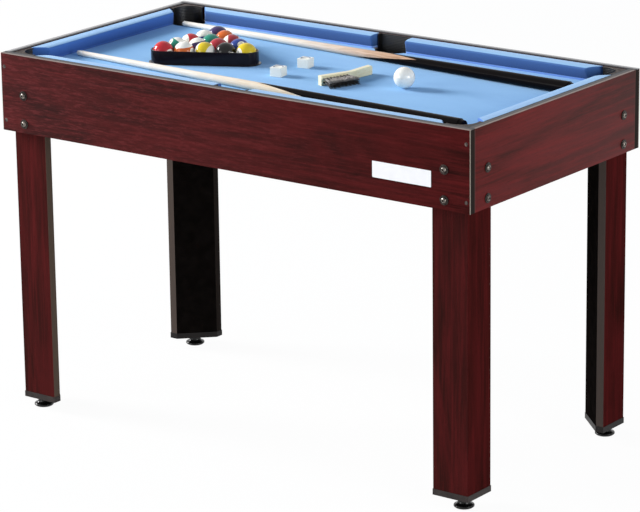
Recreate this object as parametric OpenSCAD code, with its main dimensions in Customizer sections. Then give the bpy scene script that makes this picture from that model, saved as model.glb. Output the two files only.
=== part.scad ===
// Multi-game table shown in its pool form: a boarded frame on four bolted legs,
// a lift-out pool tray, and the set of cues, balls, rack, chalk and brush on its bed.
// Millimetres. The origin is on the floor under the middle of the table,
// +X runs along the length, +Y to the rear and +Z up.

/* [Table] */
// Overall length
table_l = 1024; // [920:4:1240]
// Overall width
table_w = 529; // [480:1:670]
// Height of the apron's top edge above the floor
table_h = 675; // [570:1:820]
// Thickness of the apron and leg boards
board_t = 15; // [14:0.5:18]
// Height of the apron boards
apron_h = 143.5; // [140:0.5:200]
// Thickness of the edge tape on the boards
band_t = 0.8; // [0.5:0.1:1.2]

/* [Legs] */
// Width of a leg's face along the table's length
leg_x = 71.5; // [68:0.5:86]
// Width of a leg's face along the table's width
leg_y = 69; // [66:0.5:86]
// Thickness of the slanted inner panel of a leg
panel_t = 6; // [4:0.5:8]
// Distance from the apron's top edge down to the top of a leg
leg_drop = 65; // [64:1:66]
// Height of the cap on a leg's lower end
cap_h = 10.8; // [8:0.2:20]
// Wall of the leg's cap around the boards
cap_wall = 0.8; // [0.6:0.1:2]
// Floor of the leg's cap
cap_floor = 3; // [2:0.5:5]

/* [Leg bolts] */
// Distance of the bolts from the apron's end
bolt_in = 51.5; // [48:0.5:58]
// Distance of the upper bolt below the apron's top edge
bolt_drop = 74; // [74:1:80]
// Distance between the two bolts of one row
bolt_pitch = 52.5; // [40:0.5:55]
// Diameter of the bolt
bolt_d = 6; // [5:0.5:8]
// Diameter of the bolt's button head
bolt_head_d = 10.5; // [10:0.5:13]
// Height of the bolt's button head
bolt_head_h = 3.3; // [2.5:0.1:4]
// Diameter of the washer
washer_d = 17; // [15:0.5:20]
// Thickness of the washer
washer_t = 1.5; // [1:0.1:2]
// Outer diameter of the leg's insert nut
nut_d = 8; // [7.5:0.5:9]
// Diameter of the insert nut's flange
nut_flange_d = 14; // [12:0.5:15]

/* [Levelling feet] */
// Height of the leg cap above the floor with the foot screwed home
foot_h = 19; // [18:0.5:30]
// Diameter of the foot's pad
foot_d = 36; // [30:0.5:45]
// Diameter of the foot's neck
foot_neck_d = 21; // [18:0.5:26]
// Height of the straight rim of the pad
foot_rim_h = 4; // [3:0.2:7]
// Diameter of the foot's threaded stem
stem_d = 8; // [6:0.5:8]
// Length of the threaded stem above the leg cap's underside
stem_l = 34; // [26:1:60]
// Outer diameter of the foot's insert nut
foot_nut_d = 12; // [10.5:0.5:13]
// Wall of the leg cap's boss round the insert nut
foot_boss_wall = 2.5; // [1.5:0.1:3]
// Length of the foot's insert nut
foot_nut_l = 14; // [8:1:20]

/* [Pool tray] */
// Gap between the tray and the aprons
tray_gap = 1; // [0.5:0.1:1.5]
// Distance from the apron's top edge down to the playing surface
bed_drop = 26.5; // [26:0.5:31]
// Thickness of the bed cloth
cloth_t = 1; // [0.6:0.1:2]
// Thickness of the bed board
bed_t = 9; // [6:0.5:10]
// Width of the battens that carry the tray
batten_w = 15; // [10:1:18]
// Height of the battens that carry the tray
batten_h = 15; // [12:1:20]

/* [Cushions] */
// Distance of a cushion's top below the apron's top edge
cushion_drop = 1; // [0.5:0.1:2]
// Distance of a cushion's nose from its back
cushion_w = 27; // [25:0.5:30]
// Width of a cushion's foot
cushion_foot_w = 22; // [21:0.5:23]
// Width of the flat on a cushion's top
cushion_flat_w = 13; // [10:0.5:17]
// Distance of a cushion's nose below its top
nose_drop = 4.5; // [4:0.5:9]
// Radius of a cushion's nose
nose_r = 3; // [2:0.5:3.5]
// Distance of a cushion's back end from the tray's corner
corner_mouth_back = 47; // [46:0.5:60]
// Distance of a cushion's nose end from the tray's corner
corner_mouth_nose = 69; // [60:0.5:80]
// Gap between the backs of the two cushions at a side pocket
side_mouth_back = 70.5; // [70:0.5:80]
// Gap between the noses of the two cushions at a side pocket
side_mouth_nose = 75.5; // [70:0.5:88]

/* [Pockets] */
// Inner diameter of a corner pocket
corner_pocket_d = 61; // [58:0.5:64]
// Distance of a corner pocket's axis from the tray's two edges
corner_pocket_in = 36.5; // [36:0.5:42]
// Inner diameter of a side pocket
side_pocket_d = 65; // [62:0.5:65]
// Distance of a side pocket's axis from the tray's edge
side_pocket_in = 8; // [6:0.5:18]
// Reach of a corner pocket's liner from the tray's edges
corner_liner_reach = 3; // [2:0.5:14]
// Reach of a side pocket's liner from the tray's edge
side_liner_reach = 10; // [8:0.5:22]
// Wall of a pocket
pocket_wall = 2; // [1.5:0.1:2.5]
// Floor of a pocket
pocket_floor = 2; // [1.5:0.1:3]
// Width of a pocket's flange under the bed board
flange_w = 8; // [7:0.5:9]
// Thickness of a pocket's flange and of its plate at the top
plate_t = 2.5; // [2:0.1:3.5]

/* [Balls and rack] */
// Diameter of a ball
ball_d = 38; // [35:0.5:40]
// Gap between neighbouring balls in the rack
ball_gap = 0.2; // [0.1:0.1:0.5]
// Gap between the balls and the rack's wall
rack_gap = 1.2; // [0.2:0.1:2]
// Wall of the rack
rack_wall = 2.5; // [2:0.5:5]
// Height of the rack
rack_h = 24.5; // [18:0.5:30]
// Width of the rack's base flange
rack_flange_w = 4; // [2:0.5:5]
// Thickness of the rack's base flange
rack_flange_t = 1.6; // [1:0.1:3]
// Middle of the rack's front row of balls
rack_place = [-223, -35.5];
// Turn of the rack from the table's length
rack_turn = 27.7; // [0:0.1:60]
// Place of the cue ball
cue_ball_place = [191.5, 3];

/* [Cues] */
// What the playing surface's length between the cushions leaves over beside a cue
cue_spare = 24; // [22:1:60]
// Diameter of a cue's tip
cue_tip_d = 9.5; // [8:0.5:12]
// Diameter of a cue's butt end
cue_butt_d = 23; // [20:0.5:28]
// Length of the black butt
cue_butt_l = 380; // [300:5:450]
// Length of the white ferrule behind the leather tip
ferrule_l = 12; // [8:1:25]
// Length of the leather tip
leather_l = 4; // [3:0.5:8]
// Length of the rubber bumper on the butt
bumper_l = 8; // [5:1:15]
// Front cue's tip: distances to the noses of the left and the front cushions
front_cue_place = [12.5, 104.5];
// Turn of the front cue from the table's length
front_cue_turn = -5; // [-6:0.1:2]
// Rear cue's tip: distances to the noses of the left and the rear cushions
rear_cue_place = [20, 39.5];
// Turn of the rear cue from the table's length
rear_cue_turn = -3.6; // [-6:0.1:2]

/* [Chalk and brush] */
// Side of a chalk
chalk_a = 22.5; // [18:0.5:25]
// Height of a chalk
chalk_h = 17; // [14:0.5:25]
// Depth of the hollow in a chalk's top
chalk_dish = 1.6; // [0.5:0.1:4]
// Place of the left chalk
left_chalk_place = [-50, -43];
// Place of the right chalk
right_chalk_place = [-50, 37.5];
// Turn of the two chalks
chalk_turn = 8; // [-45:1:45]
// Place of the brush's lower front corner
brush_place = [61.5, -63.5];
// Turn of the brush's head from the table's length
brush_turn = 71; // [60:1:100]
// Bend of the brush's handle away from the bristles
brush_bend = 15; // [0:1:30]
// Length of the brush's wooden body
brush_l = 121; // [110:1:180]
// Length of the brush's head
brush_head_l = 60; // [50:1:90]
// Height of the brush's head as it lies
brush_h = 17.5; // [16:0.5:24]
// Height of the brush's neck as it lies
brush_neck_h = 14; // [8:0.5:15]
// Thickness of the brush's wooden body
brush_t = 11.5; // [8:0.5:14]
// Length of the bristles
bristle_l = 30; // [15:1:40]
// Number of bristle tufts in each of the two rows
tufts = 8; // [6:1:10]
// Number of bristles in each tuft
tuft_bristles = 24; // [20:1:30]
// Width across a bristle
bristle_w = 0.7; // [0.5:0.1:0.9]

/* [Hidden] */
$fn = 48;

// Small clearances of the fits
bolt_clear = 0.25;
press_clear = 0.05;
thread_clear = 0.08;
lie_gap = 0.3;

// Frame
half_l = table_l / 2;
half_w = table_w / 2;
apron_z = table_h - apron_h;
inner_l = half_l - board_t;
inner_w = half_w - board_t;
leg_z = foot_h + cap_floor;
leg_top = table_h - leg_drop;
bolt_zs = [table_h - bolt_drop, table_h - bolt_drop - bolt_pitch];
nut_barrel_l = board_t - 2;
nut_flange_t = 1.5;
bolt_reach = 2 * board_t + nut_flange_t;
boss_d = foot_nut_d + 2 * foot_boss_wall;
foot_in = board_t + 0.5 + boss_d / 2;

// Leg's outline, measured inward from its outer corner
leg_n = [leg_y - board_t, leg_x - board_t] / norm([leg_y - board_t, leg_x - board_t]);
leg_slant = leg_n * [leg_x, board_t];

// Pool tray
tray_l = inner_l - tray_gap;
tray_w = inner_w - tray_gap;
bed_top = table_h - bed_drop;
bed_board_top = bed_top - cloth_t;
bed_bottom = bed_board_top - bed_t;
cushion_top = table_h - cushion_drop;
cushion_h = cushion_top - bed_board_top;
nose_h = cushion_h - nose_drop;
cushion_end_gap = 0.3;

// Pockets
corner_pocket = [tray_l - corner_pocket_in, tray_w - corner_pocket_in];
side_pocket = [0, tray_w - side_pocket_in];
corner_wall_r = corner_pocket_d / 2 + pocket_wall;
side_wall_r = side_pocket_d / 2 + pocket_wall;
pocket_clear = 0.5;
pocket_bottom = leg_top + 1;
flange_z = bed_bottom - plate_t;
batten_end_gap = 3;

// Wood screws
screw_d = 4;
screw_head_d = 7;
screw_l = 45;
screw_end_in = board_t / 2;
screw_drops = [25, apron_h - 19];
batten_screw_d = 3.5;
batten_screw_l = batten_w + board_t - 4;
batten_screw_end = 30;
tray_screw_d = 3.5;
tray_screw_l = bed_t + 14;
tray_screw_in = batten_w - tray_gap + tray_screw_d + 1;
tray_screw_end = 24;
pocket_screw_d = 2.5;
pocket_screw_l = plate_t + bed_t - 2;
corner_screw_r = corner_wall_r + flange_w / 2;
side_screw_r = side_wall_r + flange_w / 2;
pan_head_h = 2;

// Rack
ball_pitch = ball_d + ball_gap;
row_pitch = ball_pitch * sin(60);
rack_rows = 5;
rack_in_r = ball_d / 2 + rack_gap;
rack_out_r = rack_in_r + rack_wall;

// Cues
nose_x = tray_l - cushion_w;
cue_l = 2 * nose_x - cue_spare;
nose_y = tray_w - cushion_w;
front_cue_tip = [front_cue_place[0] - nose_x, front_cue_place[1] - nose_y];
rear_cue_tip = [rear_cue_place[0] - nose_x, nose_y - rear_cue_place[1]];
cue_tilt = atan((cue_butt_d - cue_tip_d) / 2 / cue_l);

// Brush
brush_end_r = 3;
brush_reach = brush_t + brush_l * sin(brush_bend);
bristle_slice = 1.5;
tuft_r = 1.9;
tuft_pitch = (brush_head_l - 10) / (tufts - 1);
tuft_rows = [0.31, 0.69];

// Signs of the four corners: front left, front right, rear left, rear right
FL = [-1, -1];
FR = [1, -1];
RL = [-1, 1];
RR = [1, 1];
CORNERS = [FL, FR, RL, RR];

// Draws a shape made for the rear right corner at the corner s
module at_corner(s) {
    mirror([s[0] < 0 ? 1 : 0, 0, 0])
        mirror([0, s[1] < 0 ? 1 : 0, 0])
            children();
}

// Draws a shape made for one side on both sides of the plane across the length
module both_ends() {
    children();
    mirror([1, 0, 0]) children();
}

// Draws a shape made for the rear on the front as well
module both_sides() {
    children();
    mirror([0, 1, 0]) children();
}

// Turns +Z to -Y, for what enters the rear apron from outside
module from_rear(x, z) {
    translate([x, half_w, z]) rotate([90, 0, 0]) children();
}

// Turns +Z to -X, for what enters the right apron from outside
module from_right(y, z) {
    translate([half_l, y, z]) rotate([0, -90, 0]) children();
}

// Aprons

module apron_screw_holes() {
    both_ends()
        for (drop = screw_drops)
            from_rear(half_l - screw_end_in, table_h - drop) {
                cylinder(h = screw_l, d = screw_d + 2 * press_clear);
                translate([0, 0, -1])
                    cylinder(h = 1, d = screw_head_d + 2 * press_clear);
                cylinder(
                    h = (screw_head_d - screw_d) / 2,
                    d1 = screw_head_d + 2 * press_clear,
                    d2 = screw_d + 2 * press_clear
                );
            }
}

module long_bolt_holes(d) {
    both_ends()
        for (z = bolt_zs)
            from_rear(half_l - bolt_in, z)
                translate([0, 0, -1]) cylinder(h = 2 * board_t + 2, d = d);
}

module short_bolt_holes(d) {
    both_sides()
        for (z = bolt_zs)
            from_right(half_w - bolt_in, z)
                translate([0, 0, -1]) cylinder(h = 2 * board_t + 2, d = d);
}

module long_apron() {
    color("#4a1c1e")
        difference() {
            translate([-half_l + band_t, inner_w, apron_z])
                cube([table_l - 2 * band_t, board_t, apron_h - band_t]);
            apron_screw_holes();
            long_bolt_holes(bolt_d + 2 * bolt_clear);
            batten_screw_holes();
        }
}

module short_apron() {
    color("#6a3130")
        difference() {
            translate([inner_l, -inner_w, apron_z])
                cube([board_t, 2 * inner_w, apron_h - band_t]);
            both_sides() apron_screw_holes();
            short_bolt_holes(bolt_d + 2 * bolt_clear);
            batten_screw_holes();
        }
}

module long_top_bands() {
    color("#a89a90")
        both_sides()
            translate([-half_l, inner_w, table_h - band_t])
                cube([table_l, board_t, band_t]);
}

module short_top_bands() {
    color("#a89a90")
        both_ends()
            translate([inner_l, -inner_w, table_h - band_t])
                cube([board_t, 2 * inner_w, band_t]);
}

module apron_end_bands() {
    color("#2c2a22")
        for (s = CORNERS)
            at_corner(s)
                translate([half_l - band_t, inner_w, apron_z])
                    cube([band_t, board_t, apron_h - band_t]);
}

// Battens that carry the tray

batten_z = bed_bottom - batten_h;
long_batten_from = side_wall_r + flange_w + batten_end_gap;
long_batten_to = corner_pocket[0] - corner_wall_r - flange_w - batten_end_gap;
short_batten_to = corner_pocket[1] - corner_wall_r - flange_w - batten_end_gap;

// Draws its children at each batten screw, +Z out of the table
module at_batten_screws() {
    both_sides()
        both_ends()
            for (x = [long_batten_from + batten_screw_end, long_batten_to - batten_screw_end])
                translate([x, inner_w - batten_w, batten_z + batten_h / 2])
                    rotate([-90, 0, 0]) children();
    both_ends()
        for (y = [batten_screw_end - short_batten_to, short_batten_to - batten_screw_end])
            translate([inner_l - batten_w, y, batten_z + batten_h / 2])
                rotate([0, 90, 0]) children();
}

module batten_screw_holes() {
    at_batten_screws()
        cylinder(h = batten_screw_l, d = batten_screw_d + 2 * press_clear);
}

module tray_battens() {
    color("#c9a878")
        difference() {
            union() {
                both_sides()
                    both_ends()
                        translate([long_batten_from, inner_w - batten_w, batten_z])
                            cube([long_batten_to - long_batten_from, batten_w, batten_h]);
                both_ends()
                    translate([inner_l - batten_w, -short_batten_to, batten_z])
                        cube([batten_w, 2 * short_batten_to, batten_h]);
            }
            batten_screw_holes();
        }
}

// Screws, bolts and nuts of the frame

module pan_screw(d, l) {
    cylinder(h = l, d = d);
    translate([0, 0, -pan_head_h])
        cylinder(h = pan_head_h, d1 = 1.6 * d, d2 = 2 * d);
}

module frame_screws() {
    color("#8a8680") {
        for (s = CORNERS)
            for (drop = screw_drops)
                at_corner(s)
                    from_rear(half_l - screw_end_in, table_h - drop) {
                        cylinder(h = screw_l - 2, d = screw_d);
                        cylinder(h = (screw_head_d - screw_d) / 2, d1 = screw_head_d, d2 = screw_d);
                    }
        at_batten_screws() pan_screw(batten_screw_d, batten_screw_l - 1);
    }
}

// Draws its children at each of the sixteen leg bolts, +Z into the table
module at_leg_bolts() {
    for (s = CORNERS)
        for (z = bolt_zs)
            at_corner(s) {
                from_rear(half_l - bolt_in, z) children();
                from_right(half_w - bolt_in, z) children();
            }
}

module button_bolt() {
    dome = [for (a = [0 : 15 : 60])
        [bolt_head_d / 2 * cos(a), -bolt_head_h * sin(a) / sin(60)]];
    difference() {
        union() {
            rotate_extrude() polygon(concat([[0, 0]], dome, [[0, -bolt_head_h]]));
            cylinder(h = washer_t + bolt_reach + 2, d = bolt_d);
        }
        translate([0, 0, -bolt_head_h - 1])
            cylinder(h = 3.2, d = bolt_d * 0.75, $fn = 6);
    }
}

module leg_bolts() {
    color("#26221f")
        at_leg_bolts() translate([0, 0, -washer_t]) button_bolt();
}

module leg_washers() {
    color("#3a332e")
        at_leg_bolts()
            translate([0, 0, -washer_t])
                difference() {
                    cylinder(h = washer_t, d = washer_d);
                    translate([0, 0, -1])
                        cylinder(h = washer_t + 2, d = bolt_d + 2 * thread_clear);
                }
}

module insert_nuts() {
    color("#b8b4a8") {
        at_leg_bolts()
            difference() {
                union() {
                    translate([0, 0, 2 * board_t - nut_barrel_l])
                        cylinder(h = nut_barrel_l, d = nut_d);
                    translate([0, 0, 2 * board_t])
                        cylinder(h = nut_flange_t, d = nut_flange_d);
                }
                cylinder(h = bolt_reach + 1, d = bolt_d + 2 * thread_clear);
            }
        for (s = CORNERS)
            at_corner(s)
                at_foot(foot_h)
                    difference() {
                        cylinder(h = foot_nut_l, d = foot_nut_d);
                        translate([0, 0, -1])
                            cylinder(h = foot_nut_l + 2, d = stem_d + 2 * thread_clear);
                    }
    }
}

// Legs, drawn for the rear right corner

// A point given by its insets from the leg's two outer faces
function leg_point(p) = [inner_l - p[0], inner_w - p[1]];

// The leg's five-sided outline, grown outward by w
function leg_outline(w) = [
    [-w, -w],
    [leg_x + w, -w],
    [leg_x + w, (leg_slant + w - leg_n[0] * (leg_x + w)) / leg_n[1]],
    [(leg_slant + w - leg_n[1] * (leg_y + w)) / leg_n[0], leg_y + w],
    [-w, leg_y + w]
];

module leg_prism(points, z, h) {
    translate([0, 0, z])
        linear_extrude(height = h) polygon([for (p = points) leg_point(p)]);
}

module at_foot(z) {
    translate([inner_l - foot_in, inner_w - foot_in, z]) children();
}

module leg_long_board() {
    color("#461a1c")
        difference() {
            leg_prism(
                [[0, 0], [leg_x, 0], [leg_x, board_t], [board_t, board_t]],
                leg_z, leg_top - leg_z
            );
            long_bolt_holes(nut_d + 2 * press_clear);
        }
}

module leg_short_board() {
    color("#5c2426")
        difference() {
            leg_prism(
                [[0, 0], [board_t, board_t], [board_t, leg_y], [0, leg_y]],
                leg_z, leg_top - leg_z
            );
            short_bolt_holes(nut_d + 2 * press_clear);
        }
}

module leg_inner_panel() {
    color("#1c1a19")
        leg_prism(
            [
                [leg_x, board_t],
                [board_t, leg_y],
                [board_t, leg_y - panel_t / leg_n[1]],
                [leg_x - panel_t / leg_n[0], board_t]
            ],
            leg_z, leg_top - leg_z
        );
}

module leg_cap() {
    color("#5c4e46")
        difference() {
            union() {
                difference() {
                    leg_prism(leg_outline(cap_wall), foot_h, cap_h);
                    leg_prism(leg_outline(0), foot_h + cap_floor, cap_h);
                }
                at_foot(foot_h) cylinder(h = foot_nut_l, d = boss_d);
            }
            at_foot(foot_h - 1)
                cylinder(h = foot_nut_l + 2, d = foot_nut_d + 2 * press_clear);
        }
}

module leveller() {
    rim_r = foot_d / 2;
    neck_r = foot_neck_d / 2;
    flare_top = foot_h * 0.7;
    flare = [for (a = [0 : 15 : 90])
        [
            neck_r + (rim_r - 1 - neck_r) * (1 - sin(a)),
            foot_rim_h + 1.2 + (flare_top - foot_rim_h - 1.2) * (1 - cos(a))
        ]];
    color("#141312")
        at_foot(0) {
            rotate_extrude()
                polygon(concat(
                    [[0, 0], [rim_r - 2, 0], [rim_r, 2], [rim_r, foot_rim_h]],
                    flare,
                    [[neck_r, foot_h], [0, foot_h]]
                ));
            translate([0, 0, foot_h]) cylinder(h = stem_l, d = stem_d);
        }
}

// Pool tray

// The notches that the six pockets take out of the bed
module pocket_notches() {
    for (s = CORNERS)
        at_corner(s)
            translate(corner_pocket) {
                circle(r = corner_wall_r + pocket_clear);
                square(2 * corner_pocket_in);
            }
    both_sides()
        translate(side_pocket)
            circle(r = side_wall_r + pocket_clear);
}

module bed_board() {
    color("#b08d5e")
        difference() {
            translate([0, 0, bed_bottom])
                linear_extrude(height = bed_t)
                    difference() {
                        square([2 * tray_l, 2 * tray_w], center = true);
                        pocket_notches();
                    }
            at_tray_screws() translate([0, 0, -1]) cylinder(h = bed_t + 2, d = tray_screw_hole);
            at_pocket_screws() cylinder(h = pocket_screw_l, d = pocket_screw_hole);
        }
}

module bed_cloth() {
    color("#8abdf0")
        translate([0, 0, bed_board_top])
            linear_extrude(height = cloth_t)
                difference() {
                    square(
                        [2 * (tray_l - cushion_foot_w), 2 * (tray_w - cushion_foot_w)],
                        center = true
                    );
                    pocket_notches();
                }
}

// Cushions

// Centre and radius of the crown that runs from the flat top into the nose
nose_c = [cushion_w - nose_r, nose_h];
crown_a = nose_c[0] - cushion_flat_w;
crown_r = (crown_a * crown_a + nose_drop * nose_drop - nose_r * nose_r)
    / (2 * (nose_drop - nose_r));
crown_c = [cushion_flat_w, cushion_h - crown_r];
crown_dir = (nose_c - crown_c) / norm(nose_c - crown_c);

// Section of a cushion: across it from its back, and up from the bed board
module cushion_section() {
    polygon([
        [0, 0], [cushion_foot_w, 0], [cushion_foot_w, cloth_t],
        nose_c + nose_r * [cos(-30), sin(-30)],
        nose_c, [cushion_flat_w, nose_h], [cushion_flat_w, cushion_h], [0, cushion_h]
    ]);
    translate(nose_c) circle(r = nose_r);
    intersection() {
        translate(crown_c) circle(r = crown_r);
        polygon([
            [cushion_flat_w, nose_h], nose_c,
            nose_c + crown_dir * crown_r, [cushion_flat_w, cushion_h + crown_r]
        ]);
    }
}

// A cushion with its back on the line y = 0, cut in plan by the given outline
module cushion_run(length, plan) {
    intersection() {
        rotate([90, 0, 90])
            translate([0, 0, -length / 2])
                linear_extrude(height = length) cushion_section();
        translate([0, 0, -1])
            linear_extrude(height = cushion_h + 2) polygon(plan);
    }
}

// Distance of a cushion's end, d inward from the tray's edge: from the tray's
// corner, and from the middle of a side pocket
function corner_end(d) = corner_mouth_back
    + (corner_mouth_nose - corner_mouth_back) * d / cushion_w;
function side_end(d) = (side_mouth_back
    + (side_mouth_nose - side_mouth_back) * d / cushion_w) / 2;
function long_end(d) = tray_l - corner_end(d);
function short_end(d) = tray_w - corner_end(d);

module long_cushion() {
    color("#4a74c4")
        difference() {
            translate([0, tray_w, bed_board_top])
                mirror([0, 1, 0])
                    cushion_run(2 * half_l, [
                        [side_end(-1), -1],
                        [long_end(-1), -1],
                        [long_end(cushion_w + 1), cushion_w + 1],
                        [side_end(cushion_w + 1), cushion_w + 1]
                    ]);
            at_tray_screws() cylinder(h = tray_screw_l, d = tray_screw_hole);
        }
}

module short_cushion() {
    color("#4a74c4")
        difference() {
            translate([tray_l, 0, bed_board_top])
                rotate([0, 0, 90])
                    cushion_run(2 * half_w, [
                        [-short_end(-1), -1],
                        [short_end(-1), -1],
                        [short_end(cushion_w + 1), cushion_w + 1],
                        [-short_end(cushion_w + 1), cushion_w + 1]
                    ]);
            at_tray_screws() cylinder(h = tray_screw_l, d = tray_screw_hole);
        }
}

// Screws that hold the cushions and the pockets on the bed board

tray_screw_hole = tray_screw_d + 2 * press_clear;
pocket_screw_hole = pocket_screw_d + 2 * press_clear;
long_screw_from = side_end(0) + tray_screw_end;
long_screw_to = long_end(cushion_w) - tray_screw_end;
short_screw_to = short_end(cushion_w) - tray_screw_end;

module at_tray_screws() {
    both_sides()
        both_ends()
            for (i = [0 : 2])
                translate([
                    long_screw_from + (long_screw_to - long_screw_from) * i / 2,
                    tray_w - tray_screw_in,
                    bed_bottom
                ])
                    children();
    both_ends()
        for (i = [-1 : 1])
            translate([tray_l - tray_screw_in, short_screw_to * i, bed_bottom])
                children();
}

// Draws its children at the screw a degrees round a pocket, at radius r
module around(place, r, a) {
    translate([place[0] + r * cos(a), place[1] + r * sin(a), flange_z]) children();
}

module at_pocket_screws() {
    for (s = CORNERS)
        at_corner(s) {
            around(corner_pocket, corner_screw_r, 190) children();
            around(corner_pocket, corner_screw_r, 260) children();
        }
    both_sides() {
        around(side_pocket, side_screw_r, 235) children();
        around(side_pocket, side_screw_r, 305) children();
    }
}

module tray_screws() {
    color("#8a8680") {
        at_tray_screws() pan_screw(tray_screw_d, tray_screw_l - 1);
        at_pocket_screws() pan_screw(pocket_screw_d, pocket_screw_l - 1);
    }
}

// Pockets: each is one moulding of a cup, a flange under the bed board,
// a liner between the cushions' ends and a plate at their top

// A round outline that stays the given distance inside the tray's edges
module in_tray(place, r, inside) {
    intersection() {
        translate(place) circle(r = r);
        square([2 * (tray_l - inside), 2 * (tray_w - inside)], center = true);
    }
}

// Draws the outlines that the children give: the throat between the cushions'
// ends, and the plate over it
module pocket(place, r) {
    color("#1b1a1b")
        difference() {
            union() {
                translate([0, 0, pocket_bottom])
                    linear_extrude(height = bed_board_top - pocket_bottom)
                        in_tray(place, r + pocket_wall, 0);
                translate([0, 0, flange_z])
                    linear_extrude(height = plate_t)
                        in_tray(place, r + pocket_wall + flange_w, 0);
                translate([0, 0, bed_board_top])
                    linear_extrude(height = cushion_h)
                        intersection() {
                            in_tray(place, r + pocket_wall, 0);
                            children(0);
                        }
                translate([0, 0, cushion_top - plate_t])
                    linear_extrude(height = plate_t) children(1);
            }
            translate([0, 0, pocket_bottom + pocket_floor])
                linear_extrude(height = table_h) in_tray(place, r, pocket_wall);
            at_pocket_screws()
                translate([0, 0, -1]) cylinder(h = plate_t + 2, d = pocket_screw_hole);
        }
}

module corner_pocket() {
    back = corner_end(0) - cushion_end_gap;
    far = corner_end(corner_liner_reach) - cushion_end_gap;
    pocket(corner_pocket, corner_pocket_d / 2) {
        translate([tray_l, tray_w])
            polygon([
                [0, 0], [-back, 0], [-far, -corner_liner_reach],
                [-corner_liner_reach, -far], [0, -back]
            ]);
        translate([tray_l - back, tray_w - back]) square(back);
    }
}

module side_pocket() {
    back = side_end(0) - cushion_end_gap;
    front = side_end(side_liner_reach) - cushion_end_gap;
    pocket(side_pocket, side_pocket_d / 2) {
        translate([0, tray_w])
            polygon([
                [-back, 0], [back, 0],
                [front, -side_liner_reach], [-front, -side_liner_reach]
            ]);
        translate([-back, tray_w - side_pocket_in])
            square([2 * back, side_pocket_in]);
    }
}

// Balls and rack

// Draws its children at the rack's place, with x along the front row
module at_rack(z) {
    translate([rack_place[0], rack_place[1], z])
        rotate([0, 0, rack_turn]) children();
}

function row_ball(row, i) = [
    (i - (rack_rows - 1 - row) / 2) * ball_pitch,
    row * row_pitch
];

// A triangle whose corners are arcs of radius r round the three corner balls
module rack_outline(r) {
    corners = [row_ball(0, 0), row_ball(0, rack_rows - 1), row_ball(rack_rows - 1, 0)];
    polygon([
        for (k = [0 : 2])
            for (a = [0 : 7.5 : 120])
                corners[k] + r * [cos(150 + 120 * k + a), sin(150 + 120 * k + a)]
    ]);
}

module rack() {
    color("#161418")
        at_rack(bed_top)
            difference() {
                union() {
                    linear_extrude(height = rack_h) rack_outline(rack_out_r);
                    linear_extrude(height = rack_flange_t)
                        rack_outline(rack_out_r + rack_flange_w);
                }
                translate([0, 0, -1])
                    linear_extrude(height = rack_h + 2) rack_outline(rack_in_r);
            }
}

module object_balls() {
    color("#c43a3a")
        at_rack(bed_top + lie_gap + ball_d / 2)
            for (row = [0 : rack_rows - 1])
                for (i = [0 : rack_rows - 1 - row])
                    translate(row_ball(row, i)) sphere(d = ball_d);
}

module cue_ball() {
    color("white")
        translate([cue_ball_place[0], cue_ball_place[1], bed_top + lie_gap + ball_d / 2])
            sphere(d = ball_d);
}

// Cues: each lies on its lower side, so its axis rises towards the butt

function cue_d(s) = cue_tip_d + (cue_butt_d - cue_tip_d) * s / cue_l;

module along_cue(tip, turn) {
    translate([tip[0], tip[1], bed_top + lie_gap + cue_tip_d / 2 / cos(cue_tilt)])
        rotate([0, 0, turn])
            rotate([0, 90 - cue_tilt, 0])
                children();
}

module cue_part(from, to) {
    translate([0, 0, from])
        cylinder(h = to - from, d1 = cue_d(from), d2 = cue_d(to));
}

module cue_shaft(tip, turn) {
    color("#e3c79a")
        along_cue(tip, turn) cue_part(leather_l + ferrule_l, cue_l - cue_butt_l);
}

module cue_butt(tip, turn) {
    color("#171314")
        along_cue(tip, turn) {
            cue_part(cue_l - cue_butt_l, cue_l - bumper_l);
            translate([0, 0, cue_l - bumper_l])
                cylinder(h = bumper_l, d1 = cue_d(cue_l - bumper_l) - 2, d2 = cue_butt_d - 5);
        }
}

module cue_ferrule(tip, turn) {
    color("#f2efe6")
        along_cue(tip, turn) {
            cue_part(leather_l, leather_l + ferrule_l);
            rotate_extrude()
                polygon(concat(
                    [[0, 0]],
                    [for (a = [15 : 15 : 90])
                        [cue_d(leather_l) / 2 * sin(a), leather_l * (1 - cos(a))]],
                    [[0, leather_l]]
                ));
        }
}

// Chalk

module chalk(place) {
    dish_r = (chalk_a * chalk_a * 0.16 + chalk_dish * chalk_dish) / (2 * chalk_dish);
    color("#f4f6f8")
        translate([place[0], place[1], bed_top])
            rotate([0, 0, chalk_turn])
                difference() {
                    translate([-chalk_a / 2, -chalk_a / 2, 0]) cube([chalk_a, chalk_a, chalk_h]);
                    translate([0, 0, chalk_h - chalk_dish + dish_r]) sphere(r = dish_r);
                }
}

// Brush: the body lies on its long side, the bristles point sideways

// Turns a drawing of length across and height up to the brush's side view
module along_brush() {
    translate([brush_place[0], brush_place[1], bed_top])
        rotate([0, 0, brush_turn])
            rotate([90, 0, 0])
                children();
}

// Outline of the brush's body from above, with the bristles' side on the line y = 0
module brush_plan() {
    way = [cos(brush_bend), sin(brush_bend)];
    inner = [brush_head_l, bristle_slice];
    outer = [brush_head_l - brush_t * tan(brush_bend / 2), brush_t];
    polygon([
        [0, bristle_slice], inner, inner + brush_l * way,
        outer + brush_l * way, outer, [0, brush_t]
    ]);
}

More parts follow.
